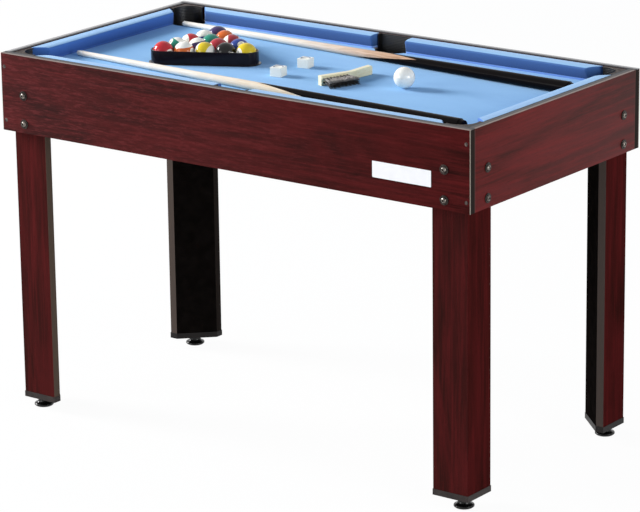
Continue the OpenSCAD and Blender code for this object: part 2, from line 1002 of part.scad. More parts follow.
module brush_body() {
    neck = (brush_h - brush_neck_h) / 2;
    end_h = brush_h - 1;
    color("#ead9ae")
        along_brush()
            intersection() {
                rotate([-90, 0, 0])
                    translate([0, 0, -1])
                        linear_extrude(height = brush_h + 2) brush_plan();
                translate([0, 0, -brush_reach])
                    linear_extrude(height = brush_reach) {
                        polygon([
                            [0, 0], [brush_head_l - 2, 1], [brush_head_l + 10, neck],
                            [brush_l - brush_end_r, 0.5], [brush_l, 0.5 + brush_end_r],
                            [brush_l, end_h - brush_end_r], [brush_l - brush_end_r, end_h],
                            [brush_head_l + 10, brush_h - neck],
                            [brush_head_l - 2, brush_h - 1], [0, brush_h]
                        ]);
                        translate([brush_l - brush_end_r, 0.5 + brush_end_r])
                            circle(r = brush_end_r);
                        translate([brush_l - brush_end_r, end_h - brush_end_r])
                            circle(r = brush_end_r);
                    }
            }
}

// Place of a bristle in its tuft, on rings that widen with the golden angle
function bristle_at(i) = tuft_r * sqrt((i + 0.5) / tuft_bristles)
    * [cos(137.5 * i), sin(137.5 * i)];

module brush_bristles() {
    spread = 1.2;
    mid = [brush_head_l / 2, brush_h / 2];
    color("#1d1a1c")
        along_brush()
            union() {
                translate([0, 0, -bristle_slice])
                    linear_extrude(height = bristle_slice)
                        polygon([
                            [0, 0], [brush_head_l - 2, 1],
                            [brush_head_l - 2, brush_h - 1], [0, brush_h]
                        ]);
                translate([mid[0], mid[1], -bristle_slice / 2])
                    linear_extrude(height = bristle_l + bristle_slice / 2, scale = spread)
                        for (row = tuft_rows)
                            for (t = [0 : tufts - 1])
                                for (i = [0 : tuft_bristles - 1])
                                    translate(
                                        [5 + t * tuft_pitch, row * brush_h]
                                        + bristle_at(i) - mid
                                    )
                                        circle(d = bristle_w, $fn = 3);
            }
}

mirror([0, 1, 0]) long_apron();  // front_apron
long_apron();  // rear_apron
mirror([1, 0, 0]) short_apron();  // left_apron
short_apron();  // right_apron
long_top_bands();
short_top_bands();
apron_end_bands();
tray_battens();
frame_screws();
leg_bolts();
leg_washers();
insert_nuts();
at_corner(FL) leg_long_board();  // front_left_leg_long_board
at_corner(FL) leg_short_board();  // front_left_leg_short_board
at_corner(FL) leg_inner_panel();  // front_left_leg_inner_panel
at_corner(FL) leg_cap();  // front_left_leg_cap
at_corner(FR) leg_long_board();  // front_right_leg_long_board
at_corner(FR) leg_short_board();  // front_right_leg_short_board
at_corner(FR) leg_inner_panel();  // front_right_leg_inner_panel
at_corner(FR) leg_cap();  // front_right_leg_cap
at_corner(RL) leg_long_board();  // rear_left_leg_long_board
at_corner(RL) leg_short_board();  // rear_left_leg_short_board
at_corner(RL) leg_inner_panel();  // rear_left_leg_inner_panel
at_corner(RL) leg_cap();  // rear_left_leg_cap
at_corner(RR) leg_long_board();  // rear_right_leg_long_board
at_corner(RR) leg_short_board();  // rear_right_leg_short_board
at_corner(RR) leg_inner_panel();  // rear_right_leg_inner_panel
at_corner(RR) leg_cap();  // rear_right_leg_cap
at_corner(FL) leveller();  // front_left_leveller
at_corner(FR) leveller();  // front_right_leveller
at_corner(RL) leveller();  // rear_left_leveller
at_corner(RR) leveller();  // rear_right_leveller
bed_board();
bed_cloth();
at_corner(FL) long_cushion();  // front_left_cushion
at_corner(FR) long_cushion();  // front_right_cushion
at_corner(RL) long_cushion();  // rear_left_cushion
at_corner(RR) long_cushion();  // rear_right_cushion
mirror([1, 0, 0]) short_cushion();  // left_end_cushion
short_cushion();  // right_end_cushion
at_corner(FL) corner_pocket();  // front_left_pocket
at_corner(FR) corner_pocket();  // front_right_pocket
at_corner(RL) corner_pocket();  // rear_left_pocket
at_corner(RR) corner_pocket();  // rear_right_pocket
mirror([0, 1, 0]) side_pocket();  // front_side_pocket
side_pocket();  // rear_side_pocket
tray_screws();
cue_shaft(front_cue_tip, front_cue_turn);  // front_cue_shaft
cue_butt(front_cue_tip, front_cue_turn);  // front_cue_butt
cue_ferrule(front_cue_tip, front_cue_turn);  // front_cue_ferrule
cue_shaft(rear_cue_tip, rear_cue_turn);  // rear_cue_shaft
cue_butt(rear_cue_tip, rear_cue_turn);  // rear_cue_butt
cue_ferrule(rear_cue_tip, rear_cue_turn);  // rear_cue_ferrule
rack();
object_balls();
cue_ball();
chalk(left_chalk_place);  // left_chalk
chalk(right_chalk_place);  // right_chalk
brush_body();
brush_bristles();
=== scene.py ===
import math
import random

import bmesh
import bpy
from mathutils import Matrix, Vector


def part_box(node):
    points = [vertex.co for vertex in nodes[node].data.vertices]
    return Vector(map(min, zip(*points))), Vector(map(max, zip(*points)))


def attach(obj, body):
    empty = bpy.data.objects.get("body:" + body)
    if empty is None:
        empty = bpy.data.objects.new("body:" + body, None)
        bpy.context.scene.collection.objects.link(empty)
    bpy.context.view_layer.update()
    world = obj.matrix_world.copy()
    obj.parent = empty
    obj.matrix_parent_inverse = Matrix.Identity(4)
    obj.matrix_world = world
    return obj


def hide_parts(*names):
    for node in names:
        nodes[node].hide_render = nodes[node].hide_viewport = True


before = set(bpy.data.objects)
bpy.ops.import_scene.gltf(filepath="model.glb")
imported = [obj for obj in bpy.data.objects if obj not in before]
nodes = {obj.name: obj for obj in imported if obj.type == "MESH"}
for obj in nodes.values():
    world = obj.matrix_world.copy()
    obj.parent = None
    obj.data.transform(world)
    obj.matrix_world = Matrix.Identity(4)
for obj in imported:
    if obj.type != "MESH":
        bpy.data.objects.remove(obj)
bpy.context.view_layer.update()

MM = 0.001
CORNERS = ("front_left", "front_right", "rear_left", "rear_right")
WELD = 0.01 * MM

# The photograph's camera, in metres, degrees and pixels
CAMERA_PLACE = Vector((3.5415, -4.7282, 2.0522))
CAMERA_AZIMUTH = 36.798
CAMERA_ELEVATION = 16.417
CAMERA_ROLL = -0.757
FOCAL_PIXELS = 3403.1
PHOTO_WIDTH = 640
SENSOR_WIDTH = 36


# Colours and small helpers

def rgb(hex_code):
    """A linear colour from a hex code as it looks on screen."""
    values = [int(hex_code[i:i + 2], 16) / 255 for i in (1, 3, 5)]
    return [v / 12.92 if v <= 0.04045 else ((v + 0.055) / 1.055) ** 2.4 for v in values] + [1]


def middle(node):
    low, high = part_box(node)
    return (low + high) / 2


def mesh_object(name, mesh):
    piece = bpy.data.objects.new(name, mesh)
    bpy.context.scene.collection.objects.link(piece)
    return piece


def from_bmesh(name, bm, smooth=True):
    mesh = bpy.data.meshes.new(name)
    bm.normal_update()
    bm.to_mesh(mesh)
    bm.free()
    for face in mesh.polygons:
        face.use_smooth = smooth
    return mesh_object(name, mesh)


def apply_modifiers(piece):
    """Bakes a piece's modifiers into its mesh."""
    graph = bpy.context.evaluated_depsgraph_get()
    mesh = bpy.data.meshes.new_from_object(piece.evaluated_get(graph))
    piece.modifiers.clear()
    piece.data = mesh


def copy_of(node, name):
    """A new object with a welded copy of a CAD node's mesh."""
    bm = bmesh.new()
    bm.from_mesh(nodes[node].data)
    bmesh.ops.remove_doubles(bm, verts=bm.verts, dist=WELD)
    return from_bmesh(name, bm, smooth=False)


def finish_with(piece, material):
    piece.data.materials.clear()
    piece.data.materials.append(material)


def soften(node, width):
    """Rounds the edges of a CAD node for the light to catch."""
    weld = nodes[node].modifiers.new("weld", "WELD")
    weld.merge_threshold = WELD
    bevel = nodes[node].modifiers.new("bevel", "BEVEL")
    bevel.width = width
    bevel.segments = 2
    bevel.limit_method = "ANGLE"
    bevel.angle_limit = math.radians(40)
    even = nodes[node].modifiers.new("even", "WEIGHTED_NORMAL")
    even.keep_sharp = True
    for face in nodes[node].data.polygons:
        face.use_smooth = True


# Materials

class Shader:
    """A material's node tree, with one call for each kind of node."""

    def __init__(self, name):
        self.material = bpy.data.materials.new(name)
        self.material.use_nodes = True
        self.tree = self.material.node_tree
        self.bsdf = self.tree.nodes["Principled BSDF"]

    def feed(self, socket, value):
        if isinstance(value, bpy.types.NodeSocket):
            self.tree.links.new(value, socket)
        else:
            socket.default_value = value

    def surface(self, **inputs):
        """Sets inputs of the principled shader by their names, with _ for a space."""
        for key, value in inputs.items():
            self.feed(self.bsdf.inputs[key.replace("_", " ")], value)

    def coords(self):
        return self.tree.nodes.new("ShaderNodeTexCoord").outputs["Object"]

    def stretch(self, scale, vector=None, move=(0, 0, 0), turn=(0, 0, 0)):
        node = self.tree.nodes.new("ShaderNodeMapping")
        self.feed(node.inputs["Vector"], self.coords() if vector is None else vector)
        node.inputs["Scale"].default_value = scale
        node.inputs["Location"].default_value = move
        node.inputs["Rotation"].default_value = turn
        return node.outputs[0]

    def noise(self, vector, scale=1.0, detail=4.0, rough=0.55, distortion=0.0):
        node = self.tree.nodes.new("ShaderNodeTexNoise")
        self.feed(node.inputs["Vector"], vector)
        for key, value in (("Scale", scale), ("Detail", detail), ("Roughness", rough),
                           ("Distortion", distortion)):
            node.inputs[key].default_value = value
        return node.outputs["Fac"]

    def math(self, kind, *values):
        node = self.tree.nodes.new("ShaderNodeMath")
        node.operation = kind
        for socket, value in zip(node.inputs, values):
            self.feed(socket, value)
        return node.outputs[0]

    def hypot(self, a, b):
        squares = [self.math("MULTIPLY", side, side) for side in (a, b)]
        return self.math("POWER", self.math("ADD", *squares), 0.5)

    def between(self, value, low, high, out_low=0.0, out_high=1.0):
        """Maps value from low..high to out_low..out_high and clamps it."""
        node = self.tree.nodes.new("ShaderNodeMapRange")
        for socket, v in zip(node.inputs, (value, low, high, out_low, out_high)):
            self.feed(socket, v)
        return node.outputs[0]

    def mix(self, factor, a, b):
        node = self.tree.nodes.new("ShaderNodeMix")
        node.data_type = "RGBA"
        self.feed(node.inputs[0], factor)
        self.feed(node.inputs[6], a)
        self.feed(node.inputs[7], b)
        return node.outputs[2]

    def axes(self, vector):
        node = self.tree.nodes.new("ShaderNodeSeparateXYZ")
        self.feed(node.inputs[0], vector)
        return node.outputs

    def bump(self, height, strength, distance):
        node = self.tree.nodes.new("ShaderNodeBump")
        node.inputs["Strength"].default_value = strength
        node.inputs["Distance"].default_value = distance
        self.feed(node.inputs["Height"], height)
        self.feed(self.bsdf.inputs["Normal"], node.outputs[0])


def along(axis, with_grain, across):
    """Scales, in features per metre, that stretch a pattern along one axis."""
    return [with_grain if i == axis else across for i in range(3)]


def apron_sheen(s, axis, ends):
    """Sheen along an apron, from its left or near end to the other."""
    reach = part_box("front_apron" if axis == 0 else "right_apron")[1][axis]
    return s.between(s.axes(s.coords())[axis], -reach, reach, *ends)


def with_flecks(s, axis, colour, strength):
    """Adds short pale and dark flecks along the grain, which fade towards the right."""
    fade_start, fade_end, faintest = -0.5, 0.35, 0.2
    flecks = s.noise(s.stretch(along(axis, 42, 270)), detail=4, rough=0.7, distortion=0.5)
    x = s.axes(s.coords())[0]
    here = s.between(x, fade_start, fade_end, strength, strength * faintest)
    pale = s.math("MULTIPLY", s.between(flecks, 0.5, 0.66), here)
    deep = s.math("MULTIPLY", s.between(flecks, 0.34, 0.48, 1, 0), here)
    colour = s.mix(pale, colour, rgb("#7d3234"))
    return s.mix(deep, colour, rgb("#200b0b"))


def mahogany(name, axis, dark, mid, red, sheen, flecks=0.0, tape_inside=None):
    """Printed mahogany foil with its grain along an axis. sheen is a number, or for an
    apron two: at its left or near end, and at the other. tape_inside is an axis, a distance
    from the middle and a colour: nearer than that, the board shows its edge tape."""
    s = Shader(name)
    broad = s.noise(s.stretch(along(axis, 2.2, 13)), detail=3, distortion=1.4)
    streak = s.noise(s.stretch(along(axis, 5, 120)), detail=6, rough=0.65, distortion=0.3)
    pores = s.noise(s.stretch(along(axis, 70, 1100)), detail=2)
    colour = s.mix(s.between(broad, 0.36, 0.62), rgb(dark), rgb(mid))
    colour = s.mix(s.between(streak, 0.45, 0.75, 0, 0.75), colour, rgb(red))
    if flecks:
        colour = with_flecks(s, axis, colour, flecks)
    colour = s.mix(s.between(pores, 0.6, 0.72, 0, 0.45), colour, rgb("#1c0c0c"))
    if tape_inside:
        side, distance, tape = tape_inside
        offset = s.math("ABSOLUTE", s.axes(s.coords())[side])
        colour = s.mix(s.math("LESS_THAN", offset, distance), colour, rgb(tape))
    if isinstance(sheen, tuple):
        sheen = apron_sheen(s, axis, sheen)
    s.surface(Base_Color=colour, Roughness=s.between(streak, 0.2, 0.8, 0.34, 0.46))
    s.surface(Specular_IOR_Level=sheen)
    s.bump(s.math("ADD", streak, pores), 0.12, 0.2 * MM)
    return s.material


def plastic(name, colour, worn, roughness, grain=900, relief=0.1, **more):
    """Moulded plastic or lacquer: an even colour with faint mottling and a fine relief."""
    s = Shader(name)
    mottle = s.noise(s.coords(), scale=60, detail=5)
    fine = s.noise(s.coords(), scale=grain, detail=2)
    s.surface(Base_Color=s.mix(s.between(mottle, 0.35, 0.75), rgb(colour), rgb(worn)))
    s.surface(Roughness=s.between(mottle, 0.2, 0.8, roughness * 0.8, roughness * 1.2))
    s.surface(**more)
    s.bump(fine, relief, 0.1 * MM)
    return s.material


def top_tape(name, across, node, near):
    """Grey tape on the aprons' top edges, dark towards the tray. across is the axis across
    the boards, and near is the sign of the near board's place on it. On that board a thin
    strip of the outer arris is a painted highlight, and on the far one the outer half is."""
    near_highlight = (3.0 * MM, 4.5 * MM)
    far_highlight = (6.0 * MM, 9.0 * MM)
    inner_dark = (11.5 * MM, 12.5 * MM)
    s = Shader(name)
    place = s.axes(s.coords())[across]
    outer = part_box(node)[1][across]
    inward = s.math("SUBTRACT", outer, s.math("ABSOLUTE", place))
    to_near_arris = s.math("SUBTRACT", outer, s.math("MULTIPLY", place, near))
    to_far_arris = s.math("ADD", outer, s.math("MULTIPLY", place, near))
    grain = s.noise(s.stretch(along(1 - across, 12, 900)), detail=3)
    colour = s.mix(s.between(grain, 0.35, 0.7), rgb("#4d4a49"), rgb("#67625f"))
    # Painted highlights: a thin strip along the near board's outer arris, and the far board's
    # outer half.
    colour = s.mix(s.between(to_near_arris, *near_highlight, 1, 0), colour, rgb("#93837b"))
    colour = s.mix(s.between(to_far_arris, *far_highlight, 1, 0), colour, rgb("#b5b1ae"))
    colour = s.mix(s.between(inward, *inner_dark), colour, rgb("#2f3338"))
    s.surface(Base_Color=colour, Roughness=s.between(grain, 0.2, 0.8, 0.5, 0.65))
    s.surface(Specular_IOR_Level=0.15)
    s.bump(grain, 0.08, 0.1 * MM)
    return s.material


def corner_tape():
    """Dark tape on the long aprons' ends, with a painted highlight at the outer arris, and a seam
    inside.
    """
    arris_highlight = (1.5 * MM, 2.1 * MM)
    seam_edge = (13.2 * MM, 13.8 * MM)
    s = Shader("corner_tape")
    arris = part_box("apron_end_bands")[1].y
    inward = s.math("SUBTRACT", arris, s.math("ABSOLUTE", s.axes(s.coords())[1]))
    grain = s.noise(s.stretch(along(2, 12, 900)), detail=3)
    colour = s.mix(s.between(grain, 0.3, 0.7), rgb("#17120f"), rgb("#251d19"))
    # A painted highlight along the outer arris.
    colour = s.mix(s.between(inward, *arris_highlight, 1, 0), colour, rgb("#8f8578"))
    colour = s.mix(s.between(inward, *seam_edge, 0, 0.6), colour, rgb("#6e4a44"))
    s.surface(Base_Color=colour, Roughness=s.between(grain, 0.2, 0.8, 0.4, 0.55))
    s.surface(Specular_IOR_Level=0.03)
    s.bump(grain, 0.08, 0.1 * MM)
    return s.material


def cloth(name, base, lit, face=None, heights=None):
    """Napped pool cloth. face gives a cushion's sides three colours of painted shade and light:
    of the strip below the first height, and then at the first height and at the second."""
    s = Shader(name)
    nap = s.noise(s.coords(), scale=1500, detail=3)
    patches = s.noise(s.stretch([5, 9, 9]), detail=3, distortion=0.6)
    colour = s.mix(s.between(patches, 0.35, 0.7), rgb(base), rgb(lit))
    if face:
        height = s.axes(s.coords())[2]
        side = s.mix(s.between(height, *heights), rgb(face[1]), rgb(face[2]))
        strip = s.math("LESS_THAN", height, heights[0])
        side = s.mix(strip, side, rgb(face[0]))
        # Only faces that look up keep the cloth's colour; the sides take the painted shade.
        upward = s.axes(s.tree.nodes.new("ShaderNodeNewGeometry").outputs["Normal"])[2]
        colour = s.mix(s.between(upward, 0.86, 0.95), side, colour)
    s.surface(Base_Color=s.mix(s.between(nap, 0.3, 0.75, 0, 0.25), colour, rgb("#5f93d0")))
    s.surface(Roughness=s.between(nap, 0.2, 0.8, 0.85, 0.95))
    s.surface(Sheen_Weight=0.25, Sheen_Roughness=0.5, Specular_IOR_Level=0.15)
    s.bump(nap, 0.25, 0.15 * MM)
    return s.material


def metal(name, colour, bright, roughness):
    s = Shader(name)
    wear = s.noise(s.coords(), scale=220, detail=5)
    s.surface(Base_Color=s.mix(s.between(wear, 0.4, 0.7), rgb(colour), rgb(bright)))
    s.surface(Metallic=0.85, Roughness=s.between(wear, 0.2, 0.8, roughness, roughness + 0.2))
    s.bump(wear, 0.1, 0.1 * MM)
    return s.material


def pocket_plastic():
    """Black moulding: ribbed inside the cup, with a grained plate on top."""
    plate_depth, plate_skin = 0.6 * MM, 0.2 * MM
    rib_pitch = 3 * MM
    s = Shader("pocket_plastic")
    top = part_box("front_left_pocket")[1].z
    z = s.axes(s.coords())[2]
    plate = s.between(z, top - plate_depth, top - plate_skin)
    mottle = s.noise(s.stretch([260, 260, 60]), detail=5)
    plate_colour = s.mix(s.between(mottle, 0.35, 0.7), rgb("#332d2a"), rgb("#5c534e"))
    s.surface(Base_Color=s.mix(plate, rgb("#0c0b0c"), plate_colour))
    s.surface(Roughness=s.between(plate, 0, 1, 0.36, 0.6))
    s.surface(Specular_IOR_Level=s.between(plate, 0, 1, 0.5, 0.1))
    ribs = s.math("SINE", s.math("MULTIPLY", z, 2 * math.pi / rib_pitch))
    s.bump(s.math("ADD", s.math("MULTIPLY", ribs, 0.5), mottle), 0.6, 0.3 * MM)
    return s.material


def raw_board():
    s = Shader("raw_board")
    chips = s.noise(s.coords(), scale=260, detail=5)
    s.surface(Base_Color=s.mix(s.between(chips, 0.35, 0.7), rgb("#a98a5f"), rgb("#c8ab7d")))
    s.surface(Roughness=s.between(chips, 0.2, 0.8, 0.7, 0.85))
    s.bump(chips, 0.2, 0.2 * MM)
    return s.material


def dress(material, *names, edge=None):
    """Gives CAD nodes a material, and rounds their edges."""
    for name in names:
        finish_with(nodes[name], material)
        if edge:
            soften(name, edge)


# Frame and legs

def dress_aprons():
    dress(mahogany("mahogany_x", 0, "#2f1311", "#491716", "#5f1e1e",
                   sheen=(0.06, 0.0), flecks=0.35),
          "front_apron", "rear_apron", edge=0.5 * MM)
    # The side aprons take a lighter, redder copy of the front and rear aprons' foil: painted
    # light, for the brighter light on the table's ends.
    dress(mahogany("mahogany_y_painted_lighter", 1, "#3a1410", "#5a1c1b", "#722120",
                   sheen=(0.04, 0.12), flecks=0.3),
          "left_apron", "right_apron", edge=0.3 * MM)
    dress(top_tape("tape_x", 1, "long_top_bands", -1), "long_top_bands", edge=0.2 * MM)
    dress(top_tape("tape_y", 0, "short_top_bands", 1), "short_top_bands", edge=0.2 * MM)
    dress(corner_tape(), "apron_end_bands")


def dress_legs():
    """The legs' boards in foil with taped inner edges, and their black plastic pieces."""
    tones = ("#2c120f", "#451615", "#5b1b1b")
    tape_depth = 0.6 * MM
    long_tape = abs(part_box("front_right_leg_long_board")[0].x) + tape_depth
    short_tape = abs(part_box("front_right_leg_short_board")[1].y) + tape_depth
    # The rear row's edge tape and caps are painted darker than the front row's: painted shade,
    # where the rear legs' inner sides lie under the table.
    for row, tape, cap, cap_mottle in (("front", "#54473d", "#2a2422", "#38312e"),
                                     ("rear", "#1e1815", "#131010", "#1d1917")):
        dress(mahogany(f"mahogany_{row}_leg", 2, *tones, sheen=0.015,
                       tape_inside=(0, long_tape, tape)),
              f"{row}_left_leg_long_board", f"{row}_right_leg_long_board", edge=0.4 * MM)
        dress(plastic(f"{row}_cap_plastic", cap, cap_mottle, 0.45, Specular_IOR_Level=0.15),
              f"{row}_left_leg_cap", f"{row}_right_leg_cap", edge=0.3 * MM)
    dress(mahogany("mahogany_leg_short", 2, *tones, sheen=0.0,
                   tape_inside=(1, short_tape, "#4a413c")),
          *[f"{c}_leg_short_board" for c in CORNERS], edge=0.4 * MM)
    dress(plastic("black_panel", "#0a0807", "#120f0e", 0.42, grain=500,
                  Specular_IOR_Level=0.0),
          *[f"{c}_leg_inner_panel" for c in CORNERS])
    dress(plastic("foot_plastic", "#050505", "#0c0b0b", 0.2, Specular_IOR_Level=0.25,
                  relief=0.03),
          *[f"{c}_leveller" for c in CORNERS], edge=0.3 * MM)


def dress_fixings():
    dress(raw_board(), "tray_battens", "bed_board", edge=0.3 * MM)
    dress(metal("dark_steel", "#46413d", "#9a9289", 0.15), "leg_bolts", edge=0.25 * MM)
    dress(metal("washer_steel", "#1b1715", "#453d38", 0.3), "leg_washers", edge=0.2 * MM)
    dress(metal("zinc", "#8f8b84", "#c9c5bb", 0.3), "tray_screws", "insert_nuts")
    dress(metal("black_zinc", "#2c2523", "#6f625d", 0.3), "frame_screws", edge=0.2 * MM)


# Pool tray

def make_cushions():
    """Cloth-wrapped cushions: the CAD runs with their edges rounded as cloth rounds them."""
    foot_strip = 4.6 * MM
    voxel = 1.4 * MM
    low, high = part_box("front_left_cushion")
    heights = (low.z + foot_strip, high.z)
    # Painted shade on the cushions' sides, darker than the tops: the side cushions' foot strip is
    # a painted lit band, and the end cushions' sides and strip are painted in deeper shade.
    side_cloth = cloth("cushion_cloth", "#88bae6", "#92c4ec", heights=heights,
                       face=("#90b3f0", "#254375", "#466da9"))
    end_cloth_in_shade = cloth("end_cushion_cloth", "#88bae6", "#92c4ec", heights=heights,
                      face=("#3d65ae", "#2d539c", "#4e7dcc"))
    for name in [f"{c}_cushion" for c in CORNERS] + ["left_end_cushion", "right_end_cushion"]:
        material = end_cloth_in_shade if "end" in name else side_cloth
        piece = copy_of(name, name.replace("cushion", "padded_cushion"))
        remesh = piece.modifiers.new("remesh", "REMESH")
        remesh.mode = "VOXEL"
        remesh.voxel_size = voxel
        smooth = piece.modifiers.new("smooth", "SMOOTH")
        smooth.iterations = 4
        smooth.factor = 0.5
        apply_modifiers(piece)
        for face in piece.data.polygons:
            face.use_smooth = True
        finish_with(piece, material)
        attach(piece, "pool_tray")
        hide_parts(name)


def make_bed_cloth():
    piece = copy_of("bed_cloth", "stretched_bed_cloth")
    bevel = piece.modifiers.new("bevel", "BEVEL")
    bevel.width = 0.3 * MM
    bevel.limit_method = "ANGLE"
    apply_modifiers(piece)
    finish_with(piece, cloth("bed_cloth", "#69aee4", "#75b9ec"))
    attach(piece, "pool_tray")
    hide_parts("bed_cloth")


def dress_tray():
    make_cushions()
    make_bed_cloth()
    pockets = [f"{c}_pocket" for c in CORNERS] + ["front_side_pocket", "rear_side_pocket"]
    dress(pocket_plastic(), *pockets, edge=0.3 * MM)


# Balls

# Of balls 1 to 8, and of the stripes of balls 9 to 15
BALL_COLOURS = ("#e8c81e", "#27408f", "#c8202c", "#3d2a5c", "#e06a24", "#1f8a72", "#b02a36",
                "#0c0c0e")
# As shares of the ball's radius: half a stripe's width, a number circle's radius and the
# width over which their edges blend
STRIPE = 0.5
CIRCLE = 0.4
BLEND = 0.02
# For each ball, row by row from the front left: its number, and its turns in degrees about
# its stripe's axis, then about x, then about z from the side that faces the camera
RACKED = [
    (3, 0, -2, 45), (13, 0, 5, 60), (9, 50, 78, 60), (8, 0, -10, 38), (1, 0, 12, -50),
    (14, 0, 40, -70), (12, 0, 20, 40), (7, 0, 20, 150), (2, 0, 35, 20),
    (11, 50, 80, 110), (6, 0, 30, 120), (15, 50, 82, 95),
    (10, 0, 10, 70), (5, 0, 30, 100),
    (4, 0, 12, 42),
]


def ball_material(number, turn):
    """Resin ball: a plain or banded body with a white number circle on both sides, its
    pattern turned about the ball's middle."""
    s = Shader(f"ball_{number}")
    radius = ball_radius()
    x, _, z = s.axes(s.stretch([1, 1, 1], turn=turn.inverted().to_euler()))
    body = rgb(BALL_COLOURS[(number - 1) % len(BALL_COLOURS)])
    white = rgb("#fffaec")
    if number > len(BALL_COLOURS):
        height = s.math("ABSOLUTE", z)
        band = s.between(height, radius * STRIPE, radius * (STRIPE + BLEND), 1, 0)
        body = s.mix(band, white, body)
    from_pole = s.hypot(x, z)
    circle = s.between(from_pole, radius * CIRCLE, radius * (CIRCLE + BLEND), 1, 0)
    body = s.mix(circle, body, white)
    speck = s.noise(s.coords(), scale=400, detail=3)
    s.surface(Base_Color=s.mix(s.between(speck, 0.55, 0.8, 0, 0.08), body, rgb("#6f6a60")))
    s.surface(Roughness=s.between(speck, 0.2, 0.8, 0.08, 0.14))
    s.surface(Specular_IOR_Level=0.3)
    s.bump(speck, 0.02, 0.05 * MM)
    return s.material


def ball_radius():
    low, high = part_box("cue_ball")
    return (high.z - low.z) / 2


def ball_mesh(radius):
    bm = bmesh.new()
    bmesh.ops.create_uvsphere(bm, u_segments=48, v_segments=32, radius=radius)
    return bm


def number_marks(number, radius, material):
    """The ball's number as thin mesh, laid on the sphere on both sides."""
    one_digit, two_digits = radius * 0.62, radius * 0.5
    proud = 1.004
    curve = bpy.data.curves.new("number", "FONT")
    curve.body = str(number)
    curve.size = one_digit if number < 10 else two_digits
    curve.align_x = "CENTER"
    curve.align_y = "CENTER"
    text = bpy.data.objects.new("number", curve)
    mesh = bpy.data.meshes.new_from_object(text)
    bpy.data.objects.remove(text)
    bm = bmesh.new()
    for turn in (0, math.pi):
        part = bmesh.new()
        part.from_mesh(mesh)
        bmesh.ops.subdivide_edges(part, edges=part.edges, cuts=1)
        for vert in part.verts:
            flat = Vector((vert.co.x, -radius, vert.co.y))
            vert.co = Matrix.Rotation(turn, 3, "Z") @ (flat.normalized() * radius * proud)
        side = bpy.data.meshes.new("number_side")
        part.to_mesh(side)
        part.free()
        bm.from_mesh(side)
    marks = from_bmesh(f"number_{number}", bm)
    finish_with(marks, material)
    return marks


def rack_centres():
    """The centres of the racked balls, row by row from the front left."""
    bm = bmesh.new()
    bm.from_mesh(nodes["object_balls"].data)
    bmesh.ops.remove_doubles(bm, verts=bm.verts, dist=WELD)
    centres = []
    remaining = set(bm.verts)
    while remaining:
        island, waiting = set(), [next(iter(remaining))]
        while waiting:
            vert = waiting.pop()
            if vert in island:
                continue
            island.add(vert)
            waiting += [edge.other_vert(vert) for edge in vert.link_edges]
        remaining -= island
        lows = [min(v.co[i] for v in island) for i in range(3)]
        highs = [max(v.co[i] for v in island) for i in range(3)]
        centres.append(Vector([(a + b) / 2 for a, b in zip(lows, highs)]))
    bm.free()
    return centres


def in_rows(centres):
    """Sorts the balls' centres by row and then along the row, left to right."""
    right = max(centres, key=lambda c: c.x)
    lower = min(centres, key=lambda c: c.y)
    across = (right - lower).normalized()
    away = Vector((-across.y, across.x, 0))
    start = lower.dot(away)
    row_pitch = 2 * ball_radius() * math.sin(math.radians(60))
    return sorted(centres, key=lambda c: (round((c.dot(away) - start) / row_pitch), c.dot(across)))


def make_racked_balls():
    radius = ball_radius()
    ink = plastic("number_ink", "#101012", "#1c1c20", 0.3)
    # A ball's number faces -y before its turns
    heading = math.degrees(math.atan2(CAMERA_PLACE.y, CAMERA_PLACE.x)) + 90
    for (number, roll, tilt, spin), centre in zip(RACKED, in_rows(rack_centres())):
        ball = from_bmesh(f"ball_{number}", ball_mesh(radius))
        turn = Matrix.Rotation(math.radians(heading + spin), 4, "Z")
        turn = turn @ Matrix.Rotation(-math.radians(tilt), 4, "X")
        turn = turn @ Matrix.Rotation(math.radians(roll), 4, "Z")
        finish_with(ball, ball_material(number, turn))
        ball.location = centre
        marks = number_marks(number, radius, ink)
        marks.data.transform(turn)
        marks.location = centre
        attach(ball, "racked_balls")
        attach(marks, "racked_balls")
    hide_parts("object_balls")


def make_cue_ball():
    s = Shader("cue_ball_resin")
    speck = s.noise(s.coords(), scale=300, detail=4)
    s.surface(Base_Color=s.mix(s.between(speck, 0.4, 0.8), rgb("#fffbef"), rgb("#f7f2e4")))
    s.surface(Roughness=s.between(speck, 0.2, 0.8, 0.07, 0.12), Coat_Weight=0.5)
    s.bump(speck, 0.02, 0.05 * MM)
    radius = ball_radius()
    ball = from_bmesh("white_ball", ball_mesh(radius))
    ball.location = middle("cue_ball")
    finish_with(ball, s.material)
    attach(ball, "white_ball")
    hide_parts("cue_ball")


# Cues

def cue_ends(which):
    """The cue's two ends on its axis, from its ferrule and its butt."""
    rim_depth = 1.5 * MM
    ferrule = [v.co for v in nodes[f"{which}_cue_ferrule"].data.vertices]
    butt = [v.co for v in nodes[f"{which}_cue_butt"].data.vertices]
    tip = min(ferrule, key=lambda c: c.x)
    end_x = max(c.x for c in butt)
    rim = [c for c in butt if end_x - c.x < rim_depth]
    end = sum(rim, Vector()) / len(rim)
    return Vector((tip.x, tip.y, sum(c.z for c in ferrule) / len(ferrule))), end


def dress_cue(which, first, last, side, warm_tones):
    """first and last are how far from the tip the black starts and the pale wood ends, and
    side is where the black starts, in degrees from the cue's left round over its top."""
    dress(plastic(f"{which}_ferrule", "#f2eee2", "#e4dccb", 0.3), f"{which}_cue_ferrule")
    dress(cue_lacquer(which, first, last, side, warm_tones),
          f"{which}_cue_shaft", f"{which}_cue_butt")
    for part in ("shaft", "ferrule", "butt"):
        for face in nodes[f"{which}_cue_{part}"].data.polygons:
            face.use_smooth = True


